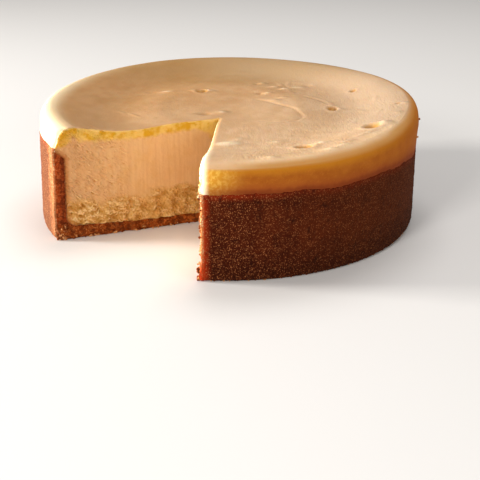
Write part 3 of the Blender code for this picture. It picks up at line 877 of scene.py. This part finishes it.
class Look:
    """A material built node by node around one Principled shader."""

    def __init__(self, name):
        self.material = bpy.data.materials.new(name)
        self.material.use_nodes = True
        self.tree = self.material.node_tree
        self.position = self.node("TexCoord", {}).outputs["Object"]
        self.x, self.y, self.z = self.node("SeparateXYZ", {"Vector": self.position}).outputs

    def feed(self, node, inputs):
        """Link or set a node's inputs."""
        for name, value in inputs.items():
            if isinstance(value, bpy.types.NodeSocket):
                self.tree.links.new(value, node.inputs[name])
            else:
                node.inputs[name].default_value = value

    def node(self, kind, inputs, **settings):
        node = self.tree.nodes.new("ShaderNode" + kind)
        for name, value in settings.items():
            setattr(node, name, value)
        self.feed(node, inputs)
        return node

    def shader(self, inputs):
        """Link or set inputs of the Principled shader."""
        self.feed(self.tree.nodes["Principled BSDF"], inputs)

    def field(self, name):
        return self.node("Attribute", {}, attribute_name=name).outputs["Fac"]

    def sum(self, operation, a, b=0.0, c=0.0):
        return self.node("Math", {0: a, 1: b, 2: c}, operation=operation).outputs[0]

    def ease(self, value, low, high):
        """0 at low, 1 at high, smooth between."""
        start, end = (1.0, 0.0) if high < low else (0.0, 1.0)
        inputs = {"Value": value, "From Min": min(low, high), "From Max": max(low, high),
                  "To Min": start, "To Max": end}
        return self.node("MapRange", inputs, interpolation_type='SMOOTHSTEP').outputs["Result"]

    def shifted(self, value, noise, amount):
        """A value moved up and down by noise around 0.5."""
        return self.sum('MULTIPLY_ADD', self.sum('SUBTRACT', noise, 0.5), amount, value)

    def stretched(self, x, y, z, turn=0.0):
        """Positions for features of a length in mm along each axis."""
        scale = (1 / (x * MM), 1 / (y * MM), 1 / (z * MM))
        inputs = {"Scale": scale, "Rotation": (0, 0, turn), "Vector": self.position}
        return self.node("Mapping", inputs).outputs["Vector"]

    def in_cut(self, angle, turn, length, width):
        """Positions in the plane of a cut face, turned in it, and stretched along one way."""
        along = self.sum('MULTIPLY', self.x, math.cos(angle))
        along = self.sum('MULTIPLY_ADD', self.y, math.sin(angle), along)
        c, s = math.cos(turn), math.sin(turn)
        ahead = self.sum('MULTIPLY_ADD', along, c / length, self.sum('MULTIPLY', self.z, s / length))
        aside = self.sum('MULTIPLY_ADD', along, s / width, self.sum('MULTIPLY', self.z, -c / width))
        return self.node("CombineXYZ", {"X": ahead, "Y": aside}).outputs["Vector"]

    def noise(self, size, detail=2.0, vector=None, bent=0.0, output="Fac"):
        """Noise around 0.5 with features of a size in metres."""
        inputs = {"Scale": 1 / size, "Detail": detail, "Distortion": bent,
                  "Vector": vector or self.position}
        return self.node("TexNoise", inputs).outputs[output]

    def warped(self, size, amount):
        """Positions pushed about by noise, so that grains don't come out round."""
        inputs = {0: self.noise(size, output="Color"), 1: (amount, amount, amount), 2: self.position}
        return self.node("VectorMath", inputs, operation='MULTIPLY_ADD').outputs["Vector"]

    def cells(self, size, vector):
        """Distance to the nearest grain's middle, and the grain's own number."""
        node = self.node("TexVoronoi", {"Scale": 1 / size, "Vector": vector})
        number = self.node("SeparateColor", {"Color": node.outputs["Color"]}).outputs["Red"]
        return node.outputs["Distance"], number

    def mix(self, share, a, b):
        node = self.node("Mix", {"Factor": share}, data_type='RGBA')
        first, second = [index for index, socket in enumerate(node.inputs) if socket.type == 'RGBA']
        self.feed(node, {first: a, second: b})
        return next(socket for socket in node.outputs if socket.type == 'RGBA')

    def between(self, value, low, high, first, second):
        """From one screen colour at low to another at high."""
        return self.mix(self.ease(value, low, high), tone(*first), tone(*second))

    def layers(self, colour, tints):
        """A colour with others laid over it: each where a share says so, and how strongly."""
        for share, strength, towards in tints:
            towards = tone(*towards) if isinstance(towards, tuple) else towards
            colour = self.mix(self.sum('MULTIPLY', share, strength), colour, towards)
        return colour

    def bump(self, height, depth, strength=1.0, under=None):
        inputs = {"Height": height, "Distance": depth, "Strength": strength}
        if under:
            inputs["Normal"] = under
        return self.node("Bump", inputs).outputs["Normal"]


def filling_look():
    """Baked filling: tan skin, amber band, golden zone under the skin, pale torn inside, and a cream rim
    on the left that is a painted highlight.
    """
    look = Look("cheese_filling_baked")
    soft, mottle, speck = look.noise(24 * MM), look.noise(6 * MM, 4), look.noise(1.3 * MM)
    lift, crag, amber, gilt = (look.field(name) for name in ("lift", "crag", "amber", "gilt"))
    blotch = look.sum('MULTIPLY_ADD', soft, 0.45, look.sum('MULTIPLY', mottle, 0.55))

    # Skin tan, darker to the back-left and paler to the right and front: partly the skin's own colour,
    # partly painted shade from the rim and painted sheen.
    across = look.shifted(look.sum('MULTIPLY_ADD', look.y, -0.85, look.x), soft, 0.03)
    skin = look.mix(look.ease(across, -0.112, 0.115),
                    look.between(blotch, 0.35, 0.68, (191, 139, 84), (200, 150, 98)),
                    look.between(blotch, 0.38, 0.62, (212, 171, 129), (221, 183, 143)))
    skin = look.layers(skin, (
        (look.ease(speck, 0.55, 0.75), 0.2, (190, 135, 82)),
        # Paler on raised marks and darker in the skin's hollows: painted highlight and painted shade.
        (look.ease(lift, 0.25, 1.0), 0.6, (248, 224, 186)),
        (look.ease(lift, -0.18, -0.7), 0.5, (184, 130, 74)),
        # Greyer tan on the inner slope of the right rim, which faces the key light: painted shade.
        (look.field("painted_rim_shade"), 0.8, (197, 167, 136)),
        (look.ease(look.y, 36 * MM, 92 * MM), 0.5, (156, 120, 60)),
        # Warm cream on the outer slope of the front-right rim, which faces away from the key light:
        # painted light.
        (look.field("pale"), 0.4, (244, 206, 158)),
        (look.field("pit"), 0.9, (186, 130, 56)),
        # Cream on the left rim and shoulder, where the key light falls hardest: painted highlight.
        (look.field("cream"), 1.0, (244, 224, 184)),
        (gilt, 0.85, (194, 136, 64))))

    fresh = look.between(look.noise(1.4 * MM, 3), 0.4, 0.66, (222, 158, 46), (242, 192, 86))
    band = look.layers(look.between(blotch, 0.36, 0.66, (156, 82, 12), (170, 96, 20)), (
        (look.ease(speck, 0.5, 0.72), 0.3, (186, 112, 30)),
        (look.field("high"), 0.85, (192, 122, 22)),
        (look.ease(look.x, 60 * MM, 112 * MM), 0.6, (174, 92, 6)),
        (look.field("fresh"), 1.0, fresh),
        (look.field("low"), 0.6, (146, 66, 22)),
        (look.field("seam"), 0.75, (120, 46, 10))))
    # Near white on the rounded corner and top lip of the right cut: painted highlight.
    edge = look.field("edge")
    outside = look.layers(look.mix(amber, skin, band), ((edge, 1.0, (252, 240, 206)),))

    depth = look.shifted(look.field("depth"), look.noise(4 * MM, 4), 5.2)
    streak = look.noise(1.0, 2, look.stretched(1.5, 1.5, 22))
    score = look.noise(1.0, 1, look.in_cut(LEFT_CUT_ANGLE, 0.55, 4.4 * MM, 1.5 * MM), 1.6)
    patch = look.sum('MULTIPLY', look.ease(look.noise(7 * MM), 0.4, 0.6), look.field("scored"))
    torn = look.noise(1.15 * MM)
    wall = look.field("wall")
    yellow = look.between(look.noise(4.2 * MM, 3), 0.4, 0.62, (182, 128, 46), (208, 158, 82))
    gold = look.between(look.noise(5 * MM, 3), 0.36, 0.6, (202, 150, 26), (220, 180, 92))
    gold = look.layers(gold, ((look.ease(look.x, -74 * MM, -96 * MM), 0.65, (190, 128, 4)),))
    inside = look.layers(look.between(streak, 0.3, 0.7, (209, 163, 110), (216, 172, 118)), (
        (look.ease(mottle, 0.45, 0.7), 0.3, (206, 156, 88)),
        # Darker toward the outer end of the left cut: painted shade.
        (look.ease(look.x, -45 * MM, -110 * MM), 0.9, (190, 138, 90)),
        (crag, 0.8, yellow),
        # Paler on raised relief and ochre in its hollows: painted highlight and painted shade.
        (look.ease(lift, 0.1, 0.75), 0.65, (244, 208, 150)),
        (look.ease(lift, -0.12, -0.75), 0.8, (172, 110, 30)),
        # Darker in the slanted scrape grooves: painted shade.
        (look.sum('MULTIPLY', look.ease(score, 0.44, 0.3), patch), 0.35, (178, 112, 60)),
        # Darker in the hollows of the torn crumb: painted shade.
        (look.sum('MULTIPLY', look.ease(torn, 0.5, 0.36), crag), 0.4, (168, 108, 30)),
        # Darker tan beside the crust wall, partly the filling's own colour and partly painted shade, and a
        # dark brown line at the joint painted where its shadow falls.
        (look.ease(wall, 3.6, 0.6), 0.75, (176, 110, 50)),
        (look.ease(wall, 0.9, 0.1), 0.8, (126, 60, 22)),
        (look.ease(depth, 8.4, 5.0), 1.0, gold),
        # The painted highlight on the right cut's corner and top lip.
        (edge, 1.0, (252, 236, 196)),
        # Paler just under the top edge of the cut faces: painted highlight on the lip.
        (look.ease(depth, 1.4, 0.2), 0.4, (240, 204, 140))))

    cut = look.field("cut")
    rough = look.mix(look.ease(mottle, 0.3, 0.7), grey(0.4), grey(0.52))
    rough = look.mix(look.sum('MAXIMUM', amber, gilt), rough, grey(0.85))
    wave = look.noise(1.0, 1, look.stretched(1.5, 4.5, 3, 0.55))
    wrinkle = look.noise(1.0, 1, look.stretched(1.3, 4, 3, -0.7))
    crinkled = look.sum('MULTIPLY', look.sum('MAXIMUM', wave, wrinkle), look.field("restless"))
    normal = None
    for height, deep, strength in ((crinkled, 0.45, 0.9), (look.sum('MULTIPLY', score, patch), 1.1, 1.0),
                                   (look.sum('MULTIPLY', torn, crag), 1.2, 0.9),
                                   (look.noise(0.9 * MM, 3), 0.14, 0.6), (look.noise(2.6 * MM), 0.2, 0.5)):
        normal = look.bump(height, deep * MM, strength, normal)
    look.shader({"Base Color": look.mix(cut, outside, inside), "Normal": normal,
                 "Roughness": look.mix(cut, rough, grey(0.62)), "Specular IOR Level": 0.18,
                 "Subsurface Weight": 0.3, "Subsurface Radius": (1.0, 0.5, 0.22),
                 "Subsurface Scale": 1.6 * MM})
    return look.material


def crust_look():
    """Pressed crumb: dark grains and pale grains, redder where the knife went through, with shade painted
    low down and in hollows and highlights painted on the cut corners.
    """
    look = Look("crumb_crust_baked")
    uneven = look.warped(0.45 * MM, 0.9 * MM)
    edge, number = look.cells(1.0 * MM, uneven)
    edge_fine, number_fine = look.cells(0.5 * MM, uneven)
    soft = look.noise(14 * MM, 3)
    lift = look.field("lift")
    share = look.sum('MULTIPLY', look.ease(number_fine, 0.56, 0.8), look.ease(edge_fine, 0.6, 0.34))

    strength = look.sum('MULTIPLY_ADD', look.ease(look.x, -20 * MM, 62 * MM), -0.52, 0.98)
    outside = look.layers(look.between(soft, 0.38, 0.64, (64, 20, 3), (78, 27, 5)), (
        (look.ease(look.shifted(look.x, soft, 0.05), 30 * MM, 100 * MM), 0.8, (80, 34, 8)),
        # Darker toward the bottom: painted shade near the floor.
        (look.ease(look.z, 24 * MM, 3 * MM), 0.7, (46, 14, 3)),
        (look.field("red"), 1.0, (196, 54, 12)),
        (look.ease(number, 0.5, 1.0), 0.2, (104, 42, 12)),
        (share, strength, look.between(number_fine, 0.6, 1.0, (112, 48, 20), (186, 116, 70))),
        # Darker in the hollows between grains: painted shade.
        (look.ease(lift, 0.0, -0.3), 0.7, (34, 10, 3)),
        # Paler on the left wall, where the key light grazes it: painted sheen.
        (look.field("painted_left_sheen"), 1.0, look.layers(tone(152, 94, 62), ((share, 0.7, (216, 166, 122)),)))))

    rust = look.between(soft, 0.4, 0.62, (146, 56, 14), (158, 66, 24))
    rust = look.layers(rust, ((share, 0.4, (222, 146, 86)),))
    inner = look.layers(tone(130, 52, 18), ((share, 0.5, (186, 100, 48)),))
    depth = look.shifted(look.field("from_outside"), look.noise(2 * MM), 2.2)
    # Lighter toward the wedge's point: painted light against the shade there.
    base = look.between(look.x, -66 * MM, -14 * MM, (138, 64, 20), (176, 88, 28))
    inside = look.layers(look.mix(look.ease(depth, 2.4, 4.4), rust, inner), (
        (look.ease(look.z, 10 * MM, 6 * MM), 0.85, look.layers(base, ((share, 1.0, (206, 130, 66)),))),
        # Darker in the hollows of the cut crumb: painted shade.
        (look.ease(lift, 0.0, -0.4), 0.6, (66, 22, 6))))

    # Pale orange to cream on the cut corners: painted highlight.
    grainy = look.sum('MULTIPLY', look.ease(number, 0.4, 0.75), look.ease(edge, 0.6, 0.3))
    painted_edge_light = look.mix(grainy, tone(222, 136, 78), tone(252, 208, 156))
    colour = look.mix(look.field("edge"), look.mix(look.field("cut"), outside, inside), painted_edge_light)
    fine = look.bump(look.sum('SUBTRACT', 1.0, edge_fine), 0.3 * MM, 0.9)
    look.shader({"Base Color": colour, "Roughness": 0.8, "Specular IOR Level": 0.06, "Sheen Weight": 0.02,
                 "Sheen Roughness": 0.3, "Sheen Tint": tone(255, 206, 168),
                 "Normal": look.bump(look.noise(0.7 * MM, 3), 0.25 * MM, 0.6, fine)})
    return look.material


def crumb_look():
    """Loose crumbs: each from dark brown to pale toasted."""
    look = Look("crumb_loose_baked")
    speck = look.noise(0.4 * MM)
    colour = look.between(look.field("tint"), 0.25, 0.9, (124, 58, 24), (232, 170, 110))
    colour = look.layers(colour, ((look.ease(speck, 0.45, 0.65), 0.5, (96, 42, 16)),))
    look.shader({"Base Color": colour, "Roughness": 0.75, "Specular IOR Level": 0.1,
                 "Normal": look.bump(speck, 0.15 * MM, 0.6)})
    return look.material


def soft_light(name, at, towards, size, power, colour=(1, 1, 1)):
    """A rectangular soft light that faces a point."""
    light = bpy.data.lights.new(name, 'AREA')
    light.shape = 'RECTANGLE'
    light.size, light.size_y = size
    light.energy = power
    light.color = colour
    thing = bpy.data.objects.new(name, light)
    bpy.context.scene.collection.objects.link(thing)
    thing.location = at
    thing.rotation_euler = (Vector(towards) - Vector(at)).to_track_quat('-Z', 'Y').to_euler()


def filling_zones(data, points, fields):
    """Add where the skin, the rim and the band change colour, and where highlight and shade are painted
    on. Lengths in mm.
    """
    u, height = data[:, 3], data[:, 2] / MM
    around = np.arctan2(points[:, 1], points[:, 0])
    degrees = np.degrees(around)
    out = np.hypot(points[:, 0], points[:, 1]) / MM
    swept, side = u <= 5, (u > 1) & (u <= 5)
    far_right = within(degrees, -45, -12, 30, 60)
    above = height - 64.6 - 2.9 * far_right - 0.4 * soft_noise(plane(degrees / 9), 40)
    blur = 1.3 * smoothstep(-75, -45, degrees)
    # Left rim and shoulder, where the key light falls hardest: cream as a painted highlight, which also
    # takes the amber band and seam away there.
    cream = np.clip(hump(around, (math.radians(186), math.radians(36), 1.25)), 0, 1)
    fresh = within(degrees, -130, -110, -97, -84)
    uneven = height + 1.1 * layered_noise(plane(degrees / 1.6), 2, 41)
    # Where a highlight is painted: the rounded corner of the right cut, and the top lip of its face.
    corner = smoothstep(5.5, 0.8, edge_distance(points, -1)) * smoothstep(70, 100, out)
    lip = smoothstep(4.8, 1.8, fields["depth"]) * smoothstep(12, 30, out) * (edge_distance(points, 1) > 4)
    fields.update({
        "fresh": fresh,
        "edge": np.where(swept, corner, lip) * (degrees < 0),
        "amber": side * smoothstep(0.5 + blur, -0.7 - blur, above) * (1 - cream),
        "high": side * smoothstep(-6.5, -0.5, above),
        "low": side * smoothstep(57, 50, height),
        "seam": side * smoothstep(52, 48.6, uneven) * (1 - cream) * (1 - 0.75 * fresh),
        "cream": swept * cream * smoothstep(95, 110, out),
        # Inner slope of the right rim: painted shade.
        "painted_rim_shade": swept * within(degrees, -52, -22, 75, 115) * within(out, 56, 90, 103, 110),
        # Outer slope of the front-right rim: painted light.
        "pale": swept * within(degrees, -97, -80, -35, -10) * smoothstep(100, 109, out),
        "gilt": swept * within(degrees, -97, -78, 20, 40) * smoothstep(0.99, 1.22, u)
                * smoothstep(3.8, 1.4, above - 2 * far_right)})


def crust_zones(data, points, fields):
    """Add where the crust is redder, where a sheen is painted on the left wall, and where highlights are
    painted along the cut corners, fading low down. Lengths in mm.
    """
    height, from_outside = data[:, 2] / MM, fields["from_outside"]
    degrees = np.degrees(np.arctan2(points[:, 1], points[:, 0]))
    left = degrees < -140
    rim = (0.1 + 0.25 * smoothstep(-70, -90, degrees)) * smoothstep(43, 47.5, height)
    # A sheen painted on the left wall, where the key light grazes it.
    painted_left_sheen = hump(np.radians(degrees), (math.radians(193), math.radians(22), 1.6))
    # Painted highlights: along the rounded right corner, the ragged outer edge of the left cut, and the
    # cut faces next to the outside.
    ragged = edge_distance(points, 1) + 5 * layered_noise(points / (2.6 * MM), 2, 66)
    right_corner = smoothstep(2.4, 0.9, edge_distance(points, -1)) * (degrees > -130) * (degrees < -60)
    near = np.maximum(right_corner, 0.42 * smoothstep(11, 4, ragged) * left) * (data[:, 3] > 0.95)
    in_cut = np.where(left, 0.12 * smoothstep(0.8, 0.2, from_outside), smoothstep(4, 2, from_outside))
    fields.update({
        "red": np.maximum(within(degrees, -130, -110, -97.2, -94), rim),
        "painted_left_sheen": 0.38 * np.clip(painted_left_sheen, 0, 1),
        # The painted highlight fades toward the bottom, as painted shade near the floor.
        "edge": np.where(data[:, 3] <= 5, near, in_cut)
        * np.maximum(smoothstep(2, 22, height), 0.6 * left)})


data, points, faces, kind, fields = make_filling()
filling_zones(data, points, fields)
filling = make_object("filling_detailed", points, faces, kind, fields, filling_look())
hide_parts("cheese_filling")
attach(filling, "root")

data, points, faces, kind, fields = make_crust()
crust_zones(data, points, fields)
crust = make_object("crust_detailed", points, faces, kind, fields, crust_look())
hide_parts("crumb_crust")
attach(crust, "root")

points, faces, fields = make_crumbs()
crumbs = make_object("crumbs_loose", points, faces, None, fields, crumb_look())
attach(crumbs, "root")

floor_look = Look("floor_pale")
floor_look.shader({"Base Color": tone(232, 230, 228), "Roughness": 0.6})
floor_mesh = bpy.data.meshes.new("floor")
floor_mesh.from_pydata([(-3, -3, 0), (3, -3, 0), (3, 3, 0), (-3, 3, 0)], [], [(0, 1, 2, 3)])
floor_mesh.materials.append(floor_look.material)
floor = bpy.data.objects.new("floor", floor_mesh)
floor.location.z = -0.2 * MM
bpy.context.scene.collection.objects.link(floor)

world = bpy.data.worlds.new("studio")
world.use_nodes = True
background = world.node_tree.nodes["Background"]
background.inputs["Color"].default_value = (1.0, 0.95, 0.9, 1)
background.inputs["Strength"].default_value = 0.22
bpy.context.scene.world = world
bpy.context.scene.view_settings.view_transform = 'Standard'
soft_light("key", (-1.2, 0.03, 0.175), (0, 0, 0.05), (0.25, 0.25), 38, (1.0, 0.97, 0.92))
soft_light("front", (-0.62, -0.95, 0.6), (0, 0, 0.03), (0.3, 0.3), 7.4, (1.0, 0.98, 0.95))
soft_light("fill", (0.85, -0.9, 0.5), (0, 0, 0.03), (0.7, 0.5), 4.6, (1.0, 0.98, 0.95))
soft_light("above", (0.15, 0.5, 1.2), (0, 0, 0.06), (0.8, 0.6), 7)

camera_data = bpy.data.cameras.new("camera")
camera_data.lens = 70.409
camera_data.sensor_width = 36
camera = bpy.data.objects.new("camera", camera_data)
camera.location = (0.0005, -0.55544, 0.21022)
camera.rotation_euler = Euler([math.radians(angle) for angle in (67.0754, -0.1220, -0.6996)])
bpy.context.scene.collection.objects.link(camera)
bpy.context.scene.camera = camera

bpy.context.view_layer.update()
